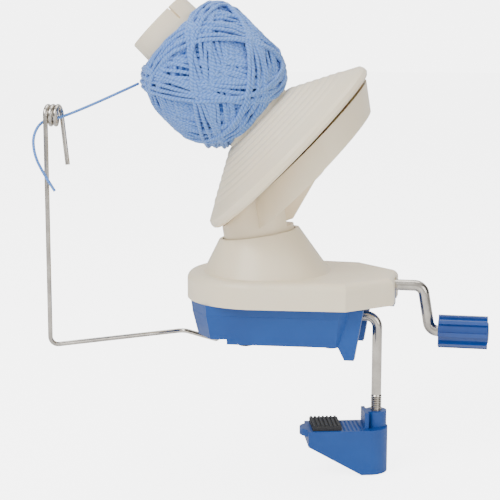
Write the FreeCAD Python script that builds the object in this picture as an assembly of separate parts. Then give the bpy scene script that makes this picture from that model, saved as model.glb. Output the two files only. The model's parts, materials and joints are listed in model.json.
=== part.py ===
import FreeCAD, Part
import math
import os

# Hand-cranked yarn ball winder that clamps to a table edge. Millimetres, +Z up.
# The origin lies on the table top, straight below the point where the crank
# axis crosses the turret axis. +X runs along the base toward the crank.

os.makedirs("parts", exist_ok=True)
V = FreeCAD.Vector

# ---- axes -------------------------------------------------------------------
crank_z = 36.5          # height of the crank axis above the table
turret_tilt = 9.0       # turret axis leans toward the yarn guide, degrees
shaft_angle = 37.0      # angle between the turret axis and the spool axis
head_turn = 13.0        # where the head stands round the turret axis
apex_up = 118.5         # along the turret axis from the crank axis to the spool axis
rim_drop = 47.3         # along the spool axis from the crossing to the plate rim
tower_rim_up = 31.5     # along the turret axis from the crank axis to the tower rim

# ---- rods and fits ------------------------------------------------------------
crank_rod_radius = 3.5
running_gap = 0.06      # radial clearance of a turning shaft
face_gap = 0.3          # clearance between faces that slide past each other
wall = 2.4              # moulded wall thickness
beyond = 60.0           # half-size of a cutting box that reaches past the base

# ---- base and cover ---------------------------------------------------------
foot_height = 1.0
floor_thick = 2.2
seam_z = 26.5           # top of the base, bottom of the cover
band_z = 20.0           # ledge round the base
band_step = 0.7
base_left = -44.0
base_right = 62.0
base_half_left = 41.0
base_half_right = 37.0
base_draft = 4.5        # how much narrower the base is at its bottom
notch_rise = 3.4        # the floor is higher where the guide wire runs under it
notch_right = -19.0
leg_drop = 7.0          # how far the table stops hang below the table top
leg_y = 28.0
leg_thick = 7.0
cover_above_shaft = 1.1 # air between the crank shaft and the inside of the cover
cover_top_z = crank_z + crank_rod_radius + cover_above_shaft + wall
cover_end_x = 84.0
cover_round_x = -3.0
cover_round_radius = 48.5
cover_half_right = 44.0
cover_chamfer_x = 57.0
cover_end_half = 18.0
cover_edge_radius = 5.0
cover_ledge = 2.0       # shelf inside the cover that rests on the base
tower_base_radius = 41.0
tower_rim_radius = 26.2

# ---- gears ------------------------------------------------------------------
crank_teeth = 48
drive_teeth = 16
drive_module = 1.0
drive_face = 6.0
sun_teeth = 12
ring_teeth = 60
sun_face = 8.0
pressure_angle = 20.0
tooth_share = 0.44      # tooth thickness as a share of the pitch

# ---- turret -----------------------------------------------------------------
post_radius = 3.0
tube_wall = 2.0
tube_radius = post_radius + tube_wall
tube_neck = 0.8         # the tube is thinner inside the drive pinion by this much
nut_radius = post_radius + 2.2
flange_radius = 12.0
flange_thick = 2.5
flange_screw_circle = 9.0
column_screw_radius = 1.2
tub_top_w = -1.2        # upper edge of the tub, from the plate rim
column_radius = 23.0
column_flat = 18.0
boss_radius = 6.0
boss_end = -24.0        # lower end of the spindle boss, from the plate rim
tub_radius = 54.0
tub_shift = 12.6        # the tub sits off the spool axis
tub_depth = 17.0
pin_radius = 3.0

# ---- plate, bobbin and yarn --------------------------------------------------
plate_radius = 70.0
plate_rim_height = 7.4
plate_flat_radius = 27.0
plate_top = 29.0
plate_thick = 2.8
rib_count = 7
rib_pitch = 4.6
rib_height = 0.5
hub_radius = 7.0
bobbin_bottom_radius = 25.0
bobbin_top_radius = 22.0
bobbin_top = 118.4
bobbin_wall = 2.0
ball_radius = 42.6
strand_diameter = 1.8

# ---- crank ------------------------------------------------------------------
crank_bend_x = 101.0
crank_arm_drop = 29.0
crank_arm_out = 5.0
knob_start = 111.5
knob_length = 31.0
knob_radius = 10.5
knob_ribs = 8

# ---- clamp ------------------------------------------------------------------
clamp_z = 15.6
clamp_x = 72.5
clamp_rod_radius = 3.2
thread_radius = 3.5
thread_pitch = 1.25
thread_top = -36.0
rod_end_z = -84.0
foot_turn = 15.0
foot_top_z = -57.0      # upper face of the clamp foot's platform
foot_post_top = -46.5
foot_bottom_z = -86.5
foot_reach = 45.5
foot_half = 13.0
foot_post_radius = 6.8

# ---- yarn guide -------------------------------------------------------------
guide_radius = 1.45
guide_z = 2.6
guide_pivot = V(-25.5, -30.5, guide_z)
guide_elbow = V(-53.7, -7.5, guide_z)
guide_foot = V(-125.5, -64.5, guide_z)
guide_socket_top = 18.0
coil_height = 145.5
coil_radius = 5.5
coil_pitch = 3.1
coil_turns = 2.5
coil_heading = 6.0     # direction of the coil axis in plan, degrees
guide_tail = 33.0
guide_bend = 5.5
coil_bend = 0.97 * coil_radius
guide_pivot_bend = 3.2    # tighter, where the wire turns up into its socket

# ---- frames of the two tilted axes ------------------------------------------
up = V(0, 0, 1)
crossing = V(0, 0, crank_z)
lean = FreeCAD.Placement(crossing, FreeCAD.Rotation(V(0, 1, 0), -turret_tilt))
turn = FreeCAD.Placement(V(0, 0, 0), FreeCAD.Rotation(up, head_turn))
turret_frame = lean.multiply(turn)
to_apex = FreeCAD.Placement(V(0, 0, apex_up), FreeCAD.Rotation(V(0, 1, 0), -shaft_angle))
apex_frame = turret_frame.multiply(to_apex)
to_rim = FreeCAD.Placement(V(0, 0, -rim_drop), FreeCAD.Rotation())
spool_frame = apex_frame.multiply(to_rim)


# ---- helpers ----------------------------------------------------------------
def save(name, shape):
    """Write one node and say what it is."""
    shape.exportStep("parts/" + name + ".step")
    kinds = len(shape.Solids)
    print(name, "solids", kinds, "volume", round(shape.Volume, 1), "valid", shape.isValid())


def placed(shape, frame):
    """A copy of a shape built in a local frame, moved to its place."""
    moved = shape.copy()
    moved.Placement = frame.multiply(moved.Placement)
    return moved


def cylinder(radius, bottom, top, x=0.0, y=0.0):
    return Part.makeCylinder(radius, top - bottom, V(x, y, bottom))


def tube(outer, inner, bottom, top):
    return cylinder(outer, bottom, top).cut(cylinder(inner, bottom - 1, top + 1))


def along_x(radius, start, end, z, y=0.0):
    return Part.makeCylinder(radius, end - start, V(start, y, z), V(1, 0, 0))


def box(x0, x1, y0, y1, z0, z1):
    return Part.makeBox(x1 - x0, y1 - y0, z1 - z0, V(x0, y0, z0))


def turned(points):
    """Solid of revolution about Z from an outline of (radius, height)."""
    corners = [V(r, 0, z) for r, z in points]
    corners.append(corners[0])
    return Part.Face(Part.makePolygon(corners)).revolve(V(0, 0, 0), up, 360)


def polygon_face(points, z):
    corners = [V(x, y, z) for x, y in points]
    corners.append(corners[0])
    return Part.Face(Part.makePolygon(corners))


def inset(points, amount):
    """A convex counter-clockwise outline moved inward by an amount."""
    count = len(points)
    lines = []
    for i in range(count):
        x0, y0 = points[i]
        x1, y1 = points[(i + 1) % count]
        length = math.hypot(x1 - x0, y1 - y0)
        nx = -(y1 - y0) / length
        ny = (x1 - x0) / length
        lines.append((nx, ny, nx * x0 + ny * y0 + amount))
    result = []
    for i in range(count):
        a0, b0, c0 = lines[i - 1]
        a1, b1, c1 = lines[i]
        d = a0 * b1 - a1 * b0
        result.append(((c0 * b1 - c1 * b0) / d, (a0 * c1 - a1 * c0) / d))
    return result


def tapered_block(points, shrink, z_bottom, z_top):
    """Block with the outline at its top and a smaller one at its bottom."""
    bottom = polygon_face(inset(points, shrink), z_bottom).OuterWire
    top = polygon_face(points, z_top).OuterWire
    return Part.makeLoft([bottom, top], True, True)


def bent_rod(points, radius, bends):
    """Round rod through the points with a tangent bend at every inner one."""
    pieces = []
    start = points[0]
    for i in range(1, len(points) - 1):
        corner = points[i]
        bend = bends[i - 1]
        into = (corner - points[i - 1]).normalize()
        out = (points[i + 1] - corner).normalize()
        half = into.getAngle(out) / 2
        reach = bend * math.tan(half)
        first = corner - into * reach
        last = corner + out * reach
        to_centre = (out - into).normalize()
        centre = corner + to_centre * (bend / math.cos(half))
        middle = centre - to_centre * bend
        pieces.append(Part.LineSegment(start, first).toShape())
        pieces.append(Part.Arc(first, middle, last).toShape())
        start = last
    pieces.append(Part.LineSegment(start, points[-1]).toShape())
    path = Part.Wire(pieces)
    direction = (points[1] - points[0]).normalize()
    section = Part.Wire(Part.Circle(points[0], direction, radius).toShape())
    return path.makePipeShell([section], True, False)


# ---- bevel gear teeth -------------------------------------------------------
def involute(angle):
    return math.tan(angle) - angle


def tooth_outline(teeth, cone, slant, share, outward, inward, phase):
    """Points (cone angle, azimuth) round a bevel gear on its tooth flanks."""
    alpha = math.radians(pressure_angle)
    pitch_radius = slant * math.sin(cone)
    virtual = pitch_radius / math.cos(cone)
    base = virtual * math.cos(alpha)
    half_pitch = math.pi * pitch_radius / teeth * share
    flank = []
    for depth in (-inward, -0.5 * inward, 0.0, 0.5 * outward, outward):
        radius = virtual + depth
        local = math.acos(min(1.0, base / radius))
        half = radius * (half_pitch / virtual + involute(alpha) - involute(local))
        angle = cone + depth / slant
        flank.append((angle, half / (slant * math.sin(angle))))
    outline = []
    for tooth in range(teeth):
        middle = phase + 2 * math.pi * tooth / teeth
        for angle, half in flank:
            outline.append((angle, middle - half))
        for angle, half in reversed(flank):
            outline.append((angle, middle + half))
    return outline


def toothed_cone(outline, near, far):
    """Solid between two planes square to the axis, its sides through the apex."""
    rings = []
    for height in (near, far):
        ring = []
        for angle, azimuth in outline:
            r = height * math.tan(angle)
            ring.append(V(r * math.cos(azimuth), r * math.sin(azimuth), height))
        rings.append(ring)
    faces = []
    count = len(outline)
    for i in range(count):
        j = (i + 1) % count
        corners = [rings[0][i], rings[0][j], rings[1][j], rings[1][i], rings[0][i]]
        faces.append(Part.Face(Part.makePolygon(corners)))
    for ring in rings:
        faces.append(Part.Face(Part.makePolygon(ring + [ring[0]])))
    solid = Part.makeSolid(Part.makeShell(faces))
    if solid.Volume < 0:
        solid.reverse()
    return solid


def cone_angle(teeth, mate_teeth, axes_angle):
    """Pitch cone angle of one bevel gear of an outside pair."""
    return math.atan2(math.sin(axes_angle), mate_teeth / teeth + math.cos(axes_angle))


def along_down(frame):
    """A frame at the same point whose Z axis points the other way."""
    flip = FreeCAD.Placement(V(0, 0, 0), FreeCAD.Rotation(V(0, 1, 0), 180))
    return frame.multiply(flip)


# ---- drive stage geometry ---------------------------------------------------
drive_axes = math.radians(90 - turret_tilt)
crank_cone = cone_angle(crank_teeth, drive_teeth, drive_axes)
drive_cone = drive_axes - crank_cone
drive_slant = drive_module * crank_teeth / 2 / math.sin(crank_cone)
crank_near = (drive_slant - drive_face) * math.cos(crank_cone)
drive_far = drive_slant * math.cos(drive_cone)
drive_near = (drive_slant - drive_face) * math.cos(drive_cone)
drive_add = drive_module
drive_ded = 1.2 * drive_module
# the crown teeth run on past the outer corner of the pinion teeth
drive_tip = drive_cone + drive_add / drive_slant
crank_web = drive_far / math.cos(drive_tip) * math.cos(drive_axes - drive_tip) + face_gap
crank_outer = crank_web * math.tan(crank_cone + drive_add / drive_slant)

# ---- head stage geometry: sun pinion inside the ring gear -------------------
head_axes = math.radians(shaft_angle)
ratio_term = ring_teeth / sun_teeth
sun_cone = math.atan2(math.sin(head_axes), ratio_term - math.cos(head_axes))
ring_cone = head_axes + sun_cone
head_slant = rim_drop / math.cos(ring_cone)
head_module = 2 * head_slant * math.sin(sun_cone) / sun_teeth
sun_far = head_slant * math.cos(sun_cone)
sun_near = (head_slant - sun_face) * math.cos(sun_cone)
head_add = head_module
head_ded = 1.2 * head_module
sun_bottom = apex_up - sun_far
sun_top = apex_up - sun_near


# ---- base -------------------------------------------------------------------
base_corner = 13.0
base_points = [
    (base_left, -base_half_left + 1.3 * base_corner),
    (base_left + base_corner, -base_half_left),
    (base_right - 10.0, -base_half_right),
    (base_right, -base_half_right + 11.0),
    (base_right, base_half_right - 11.0),
    (base_right - 10.0, base_half_right),
    (base_left + base_corner, base_half_left),
    (base_left, base_half_left - 1.3 * base_corner),
]
floor_top = foot_height + floor_thick
screw_spots = [(-27.0, 29.0), (33.0, -27.0), (33.0, 27.0)]
screw_radius = 1.5
screw_boss_radius = 4.0
screw_head_radius = 2.8
post_bottom = -(drive_far + 7.0)
post_seat_top = -(drive_far + 2.2)
inner_bearing_x = 24.0
outer_bearing_x = 79.5
bearing_length = 8.0
bushing_wall = 0.9
bushing_radius = crank_rod_radius + bushing_wall
bearing_half = bushing_radius + 1.6
clamp_socket_start = 42.0
feet_spots = [(-8.0, -30.0), (-8.0, 30.0), (46.0, -26.0), (46.0, 26.0)]
feet_radius = 4.3
feet_recess = 1.0


def leg(side):
    """Table stop that hangs below the base at its clamp end."""
    outline = [(50.0, 25.0), (66.5, 25.0), (61.0, -leg_drop), (55.0, -leg_drop), (51.0, 1.0)]
    corners = [V(x, 0, z) for x, z in outline]
    corners.append(corners[0])
    y = leg_y if side > 0 else -leg_y - leg_thick
    plate = Part.Face(Part.makePolygon(corners)).extrude(V(0, leg_thick, 0))
    plate.translate(V(0, y - leg_thick / 2 * side, 0))
    return plate


def base_shell():
    lower = tapered_block(base_points, base_draft, foot_height, band_z)
    band = tapered_block(inset(base_points, -band_step), 0.8, band_z, seam_z)
    shell = lower.fuse(band)
    hollow_points = inset(base_points, wall)
    shell = shell.cut(tapered_block(hollow_points, base_draft, floor_top, seam_z + 0.01))
    # raised floor over the guide wire
    notch_box = box(-beyond, notch_right, -beyond, beyond, 0.0, foot_height + notch_rise)
    raised = lower.common(box(-beyond, notch_right + wall, -beyond, beyond, 0.0,
                              foot_height + notch_rise + floor_thick))
    shell = shell.fuse(raised).cut(notch_box)
    for side in (-1, 1):
        shell = shell.fuse(leg(side))
    # clear the legs out of the inside
    shell = shell.cut(tapered_block(inset(base_points, 3 * wall), base_draft,
                                    floor_top + 6.0, seam_z + 0.01))
    # seat of the tilted post
    seat = cylinder(7.5, post_bottom - 6.0, post_seat_top)
    seat = placed(seat, turret_frame)
    shell = shell.fuse(seat.common(box(-30.0, 30.0, -30.0, 30.0, foot_height, 20.0)))
    shell = shell.cut(placed(cylinder(post_radius, post_bottom, post_seat_top + 1), turret_frame))
    shell = shell.cut(placed(cylinder(1.5, post_bottom - 2.5, post_bottom), turret_frame))
    shell = shell.cut(placed(cylinder(3.4, post_bottom - 8, post_bottom - 1.6), turret_frame))
    # the two crank bearings
    for x in (inner_bearing_x, outer_bearing_x):
        start = x - bearing_length / 2
        bottom = floor_top if x < base_right else seam_z - 3.0
        shell = shell.fuse(box(start, start + bearing_length, -bearing_half, bearing_half,
                               bottom, crank_z + 1.6))
    # ledge that carries the outer bearing beyond the end wall
    outer_end = outer_bearing_x + bearing_length / 2
    shell = shell.fuse(box(base_right - 4.0, outer_end, -bearing_half, bearing_half,
                           seam_z - 3.0, seam_z))
    for x in (inner_bearing_x, outer_bearing_x):
        start = x - bearing_length / 2
        shell = shell.cut(along_x(bushing_radius, start - 1, start + bearing_length + 1, crank_z))
        slot = box(start - 1, start + bearing_length + 1, -bushing_radius, bushing_radius,
                   crank_z, crank_z + 10.0)
        shell = shell.cut(slot)
    # socket of the clamp rod
    socket_half = clamp_rod_radius + 3.3
    clamp_socket = box(clamp_socket_start, base_right - 2.0, -socket_half, socket_half,
                       foot_height, clamp_z + 6.0)
    shell = shell.fuse(clamp_socket)
    shell = shell.cut(along_x(clamp_rod_radius + running_gap, clamp_socket_start - 1,
                              base_right + 5, clamp_z))
    # socket of the yarn guide
    guide_socket = cylinder(guide_radius + wall + 0.65, foot_height + notch_rise, guide_socket_top,
                            guide_pivot.x, guide_pivot.y)
    cup_radius = guide_pivot_bend + guide_radius + face_gap
    cup_top = guide_z + guide_pivot_bend + face_gap
    cup = cylinder(cup_radius + wall, foot_height + notch_rise, cup_top + wall,
                   guide_pivot.x, guide_pivot.y)
    shell = shell.fuse(guide_socket).fuse(cup)
    shell = shell.cut(cylinder(cup_radius, 0.0, cup_top, guide_pivot.x, guide_pivot.y))
    shell = shell.cut(cylinder(guide_radius + running_gap, 0.0, guide_socket_top + 1,
                               guide_pivot.x, guide_pivot.y))
    # screw bosses and foot recesses
    for x, y in screw_spots:
        bottom = foot_height + (notch_rise if x < notch_right else 0.0)
        shell = shell.fuse(cylinder(screw_boss_radius, bottom, seam_z, x, y))
        shell = shell.cut(cylinder(screw_radius, bottom - 1, seam_z + 1, x, y))
        shell = shell.cut(cylinder(screw_head_radius + 0.2, bottom - 1, bottom + 2.2, x, y))
    for x, y in feet_spots:
        shell = shell.cut(cylinder(feet_radius, 0.0, foot_height + feet_recess, x, y))
    return shell.removeSplitter()


def cover_outline(amount):
    """Cover footprint as a prism-ready face, moved inward by an amount."""
    half = cover_round_radius - amount
    points = [
        (cover_round_x, -cover_round_radius),
        (cover_chamfer_x, -cover_half_right),
        (cover_end_x, -cover_end_half),
        (cover_end_x, cover_end_half),
        (cover_chamfer_x, cover_half_right),
        (cover_round_x, cover_round_radius),
    ]
    left = [(-beyond, cover_round_radius), (-beyond, -cover_round_radius)]
    shaped = inset(points + left, amount)
    return shaped, half


def cover_block(amount, bottom, top):
    shaped, half = cover_outline(amount)
    prism = polygon_face(shaped, bottom).extrude(V(0, 0, top - bottom))
    reach = cover_end_x + beyond
    keep = cylinder(half, bottom, top, cover_round_x).fuse(
        box(cover_round_x, reach, -beyond, beyond, bottom, top))
    return prism.common(keep).removeSplitter()


def tower(shrink, bottom, extra):
    """Cone that leans from the cover top to the tilted rim."""
    foot = Part.Wire(Part.Circle(V(0.5, 0, bottom), up, tower_base_radius - shrink
                                 + (cover_top_z - bottom) * 0.6).toShape())
    rim_frame = lean
    rim_centre = rim_frame.multVec(V(0, 0, tower_rim_up + extra))
    axis = rim_frame.Rotation.multVec(up)
    rim = Part.Wire(Part.Circle(rim_centre, axis, tower_rim_radius - shrink - extra * 0.55).toShape())
    return Part.makeLoft([foot, rim], True, True)


def top_cover():
    outer = cover_block(0.0, seam_z, cover_top_z)
    top_edges = []
    for edge in outer.Edges:
        if abs(edge.BoundBox.ZMin - cover_top_z) < 0.01 and abs(edge.BoundBox.ZMax - cover_top_z) < 0.01:
            top_edges.append(edge)
    outer = outer.makeFillet(cover_edge_radius, top_edges)
    outer = outer.fuse(tower(0.0, cover_top_z - 2.0, 0.0))
    inner = cover_block(wall, seam_z - 1, cover_top_z - wall)
    ledge = cover_block(wall / 2, seam_z, seam_z + cover_ledge)
    ledge = ledge.cut(polygon_face(inset(base_points, wall), seam_z - 1).extrude(V(0, 0, 10.0)))
    bearing_way = outer_bearing_x + bearing_length / 2 + 2 * face_gap
    ledge = ledge.cut(box(0.0, bearing_way, -bearing_half - face_gap, bearing_half + face_gap,
                          seam_z - 1, seam_z + 10.0))
    shell = outer.cut(inner).fuse(ledge)
    shell = shell.cut(tower(wall, cover_top_z - wall - 0.5, 1.0))
    # slot for the crank shaft in the end wall
    slot_radius = bearing_half + face_gap
    slot = along_x(slot_radius, outer_bearing_x - bearing_length, cover_end_x + 5, crank_z)
    slot = slot.common(box(0, 200, -20, 20, 0, crank_z + bushing_radius + 0.05))
    low = box(outer_bearing_x - bearing_length, cover_end_x + 5, -slot_radius, slot_radius,
              seam_z - 5, crank_z)
    shell = shell.cut(slot).cut(low)
    # posts over the screw bosses
    for x, y in screw_spots:
        shell = shell.fuse(cylinder(screw_boss_radius, seam_z, cover_top_z - 1.0, x, y))
        shell = shell.cut(cylinder(1.2, seam_z - 1, seam_z + 9.0, x, y))
    return shell.removeSplitter()


def rubber_feet():
    """Four round feet and a ring round the post screw, which covers the origin."""
    feet = [cylinder(feet_radius, 0.0, foot_height + feet_recess, x, y) for x, y in feet_spots]
    ring_x = (crank_z - foot_height) * math.tan(math.radians(turret_tilt))
    ring = cylinder(9.0, 0.0, foot_height, ring_x)
    ring = ring.cut(cylinder(3.9, -1.0, foot_height + 1, ring_x))
    return Part.makeCompound(feet + [ring])


def cover_screws():
    screws = []
    for x, y in screw_spots:
        bottom = foot_height + (notch_rise if x < notch_right else 0.0)
        shank = cylinder(screw_radius - 0.3, bottom + 0.2, seam_z + 8.0, x, y)
        head = cylinder(screw_head_radius, bottom + 0.4, bottom + 2.2, x, y)
        cross = box(x - 1.8, x + 1.8, y - 0.35, y + 0.35, bottom, bottom + 1.2)
        screws.append(shank.fuse(head).cut(cross))
    return Part.makeCompound(screws)


def turret_post():
    body = cylinder(post_radius, post_bottom, sun_top + 3.4)
    body = body.cut(cylinder(1.2, post_bottom - 1, post_bottom + 8.0))
    return placed(body, turret_frame)


def post_screw():
    head = cylinder(3.2, post_bottom - 3.2, post_bottom - 1.6)
    shank = cylinder(1.2, post_bottom - 1.6, post_bottom + 7.5)
    cross = box(-2.2, 2.2, -0.4, 0.4, post_bottom - 4, post_bottom - 2.3)
    return placed(head.fuse(shank).cut(cross), turret_frame)


def thrust_washer():
    """Steel washer the drive tube turns on."""
    washer = tube(6.4, post_radius, post_seat_top, post_seat_top + 1.0)
    return placed(washer, turret_frame)


def crank_bushings():
    sleeves = []
    for x in (inner_bearing_x, outer_bearing_x):
        start = x - bearing_length / 2
        sleeve = along_x(bushing_radius, start, start + bearing_length, crank_z)
        bore = along_x(crank_rod_radius + running_gap, start - 1, start + bearing_length + 1, crank_z)
        sleeves.append(sleeve.cut(bore))
    return Part.makeCompound(sleeves)


# ---- head gears -------------------------------------------------------------
def sun_pinion():
    phase = math.pi
    outline = tooth_outline(sun_teeth, sun_cone, head_slant, tooth_share, head_add, head_ded, phase)
    gear = toothed_cone(outline, sun_near, sun_far)
    gear = gear.cut(cylinder(post_radius, sun_near - 5, sun_far + 5))
    frame = turret_frame.multiply(FreeCAD.Placement(V(0, 0, apex_up), FreeCAD.Rotation()))
    return placed(gear, along_down(frame))


def sun_nut():
    corners = [(nut_radius * math.cos(math.radians(60 * k)), nut_radius * math.sin(math.radians(60 * k)))
               for k in range(6)]
    nut = polygon_face(corners, sun_top).extrude(V(0, 0, 2.6))
    nut = nut.cut(cylinder(post_radius, sun_top - 1, sun_top + 5))
    return placed(nut, turret_frame)


def ring_gear():
    """Inside teeth on a ring under the plate rim."""
    outline = tooth_outline(ring_teeth, ring_cone, head_slant, 1 - tooth_share,
                            head_ded, head_add, math.pi)
    far = rim_drop + 1.0
    near = rim_drop - sun_face * math.cos(ring_cone) - 1.0
    void = toothed_cone(outline, near, far)
    outer_radius = ring_root_radius + 1.8
    blank = cylinder(outer_radius, near + 0.5, rim_drop)
    ring = blank.cut(void)
    return placed(ring, along_down(apex_frame))


ring_root_radius = head_slant * math.sin(ring_cone) + 1.35 * head_ded
ring_top_w = sun_face * math.cos(ring_cone) + 0.5


# ---- turret -----------------------------------------------------------------
def drive_pinion():
    outline = tooth_outline(drive_teeth, drive_cone, drive_slant, tooth_share,
                            drive_add, drive_ded, math.pi / drive_teeth)
    gear = toothed_cone(outline, drive_near, drive_far)
    gear = gear.cut(cylinder(tube_radius - tube_neck, drive_near - 5, drive_far + 5))
    return placed(gear, along_down(lean))


tube_bottom = -drive_far - 1.0
tube_top = sun_bottom - 1.0
flange_z = tower_rim_up - 4.5


def drive_tube():
    lower = tube(tube_radius - tube_neck, post_radius + running_gap, tube_bottom, -drive_near + 1.0)
    upper = tube(tube_radius, post_radius + running_gap, -drive_near + 1.0, tube_top)
    flange = tube(flange_radius, tube_radius - 0.5, flange_z - flange_thick, flange_z)
    for k in range(3):
        a = math.radians(120 * k + 30)
        x = flange_screw_circle * math.cos(a)
        y = flange_screw_circle * math.sin(a)
        flange = flange.cut(cylinder(column_screw_radius + 0.1, flange_z - 5, flange_z + 1, x, y))
    return placed(lower.fuse(upper).fuse(flange).removeSplitter(), turret_frame)


def turret_screws():
    screws = []
    for k in range(3):
        a = math.radians(120 * k + 30)
        x = flange_screw_circle * math.cos(a)
        y = flange_screw_circle * math.sin(a)
        shank = cylinder(column_screw_radius, flange_z - flange_thick, flange_z + 7.0, x, y)
        head = cylinder(2.4, flange_z - flange_thick - 1.6, flange_z - flange_thick, x, y)
        slot = box(x - 1.6, x + 1.6, y - 0.3, y + 0.3, flange_z - 5, flange_z - flange_thick - 0.8)
        screws.append(shank.fuse(head).cut(slot))
    return placed(Part.makeCompound(screws), turret_frame)


def to_turret(shape):
    """From the spool frame to the turret frame, both local."""
    relative = to_apex.multiply(to_rim)
    return placed(shape, relative)


column_top_w = -2.4
cavity_radius = 13.5
seat_radius = 13.0      # boss that takes the flange screws
column_low = flange_z + 2.2


def turret_arm():
    """Column, tub, web and spindle boss moulded in one piece, in the turret frame."""
    column = cylinder(column_radius, column_low, apex_up - 20.0)
    column = column.fuse(cylinder(seat_radius, flange_z, column_low))
    flat = box(column_flat, beyond, -beyond, beyond, tower_rim_up + 3.0, apex_up)
    column = column.cut(flat)
    above = to_turret(cylinder(150.0, column_top_w, 200.0))
    column = column.cut(above)
    # tub: walls run parallel to the turret axis, so cut them from slanted discs
    top = to_turret(Part.Face(Part.Wire(Part.Circle(V(tub_shift, 0, tub_top_w), up, tub_radius).toShape())))
    drop = tub_depth / math.cos(head_axes)
    slide = V(0, 0, -drop)
    tub = top.extrude(slide)
    inside = to_turret(Part.Face(Part.Wire(Part.Circle(V(tub_shift, 0, tub_top_w), up,
                                                       tub_radius - wall).toShape())))
    hollow = inside.extrude(V(0, 0, -(tub_depth - wall) / math.cos(head_axes)))
    lift = to_turret(Part.Face(Part.Wire(Part.Circle(V(tub_shift, 0, tub_top_w), up,
                                                     tub_radius - wall).toShape())))
    hollow = hollow.fuse(lift.extrude(V(0, 0, 3.0)))
    tub = tub.cut(hollow)
    arm = column.fuse(tub)
    # web and boss round the spindle pin
    boss = to_turret(cylinder(boss_radius, boss_end, column_top_w))
    web_half = 3.0
    low = V(column_flat - 6.0, 0, tower_rim_up + 4.0)
    outline = [low,
               V(column_flat + 5.0, 0, tower_rim_up + 6.0),
               to_apex.multVec(V(boss_radius, 0, boss_end - rim_drop + 2.0)),
               to_apex.multVec(V(boss_radius, 0, -tub_depth - rim_drop)),
               V(column_flat - 6.0, 0, tower_rim_up + 30.0)]
    web = Part.Face(Part.makePolygon(outline + [low])).extrude(V(0, 2 * web_half, 0))
    web.translate(V(0, -web_half, 0))
    arm = arm.fuse(boss).fuse(web)
    # bores: sun cavity, drive tube, spindle pin, flange screws
    arm = arm.cut(cylinder(cavity_radius, tube_top, apex_up))
    arm = arm.cut(cylinder(tube_radius, 0.0, apex_up))
    hollow = tube(column_radius - wall, seat_radius, column_low - 1, tube_top - wall)
    hollow = hollow.common(box(-beyond, column_flat - wall, -beyond, beyond, 0.0, apex_up))
    arm = arm.cut(hollow.cut(to_turret(cylinder(150.0, column_top_w - wall, 200.0))))
    arm = arm.cut(to_turret(cylinder(pin_radius, boss_end - 1, 60.0)))
    arm = arm.cut(above)
    for k in range(3):
        a = math.radians(120 * k + 30)
        x = flange_screw_circle * math.cos(a)
        y = flange_screw_circle * math.sin(a)
        arm = arm.cut(cylinder(column_screw_radius, flange_z - 1, flange_z + 8.0, x, y))
    return placed(arm.removeSplitter(), turret_frame)


pin_top_w = 42.0


def spindle_pin():
    pin = cylinder(pin_radius, boss_end + 0.5, pin_top_w)
    return placed(pin, spool_frame)


def spindle_clip():
    """Push-on washer that keeps the plate hub on its pin."""
    washer = tube(5.4, pin_radius, hub_top_w + 0.2, hub_top_w + 1.4)
    return placed(washer, spool_frame)


# ---- winding plate ----------------------------------------------------------
hub_top_w = 38.0
hub_bottom_w = column_top_w + 0.5


def plate_slope_w(radius):
    """Height of the plate's upper face at a radius."""
    share = (radius - plate_flat_radius) / (plate_radius - 3.0 - plate_flat_radius)
    return plate_top + (plate_rim_height - plate_top) * share


def winding_plate():
    rim_in = plate_radius - 3.0
    outline = [(pin_radius + running_gap, hub_bottom_w)]
    outline.append((hub_radius, hub_bottom_w))
    outline.append((hub_radius, plate_top - plate_thick))
    outline.append((plate_flat_radius - 1.0, plate_top - plate_thick))
    outline.append((rim_in - 1.2, plate_rim_height - plate_thick))
    outline.append((rim_in - 0.8, 0.0))
    outline.append((plate_radius - 1.5, 0.0))
    outline.append((plate_radius, 1.6))
    outline.append((plate_radius, 4.0))
    outline.append((plate_radius - 1.0, 6.2))
    outline.append((rim_in, plate_rim_height))
    for k in range(rib_count):
        radius = rim_in - 8.0 - k * rib_pitch
        outline.append((radius, plate_slope_w(radius)))
        outline.append((radius - 0.5, plate_slope_w(radius) + rib_height))
        outline.append((radius - 2.0, plate_slope_w(radius - 2.0) + rib_height))
    outline.append((plate_flat_radius, plate_top))
    outline.append((socket_radius, plate_top))
    outline.append((socket_radius, hub_top_w))
    outline.append((pin_radius + running_gap, hub_top_w))
    plate = turned(outline)
    skirt = tube(ring_root_radius + 1.8 + 2.0, ring_root_radius + 1.8, 0.2, ring_top_w + 3.5)
    flat_seat = tube(ring_root_radius + 1.8 + 2.0, ring_root_radius - 4.0, ring_top_w, ring_top_w + 8.0)
    under = turned([(20.0, -1.0), (plate_radius - 6.0, -1.0), (plate_radius - 6.0, plate_rim_height - 1.0),
                    (plate_flat_radius, plate_top - 1.0), (20.0, plate_top - 1.0)])
    plate = plate.fuse(skirt.common(under)).fuse(flat_seat.common(under))
    return placed(plate.removeSplitter(), spool_frame)


socket_radius = 9.0


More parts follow.
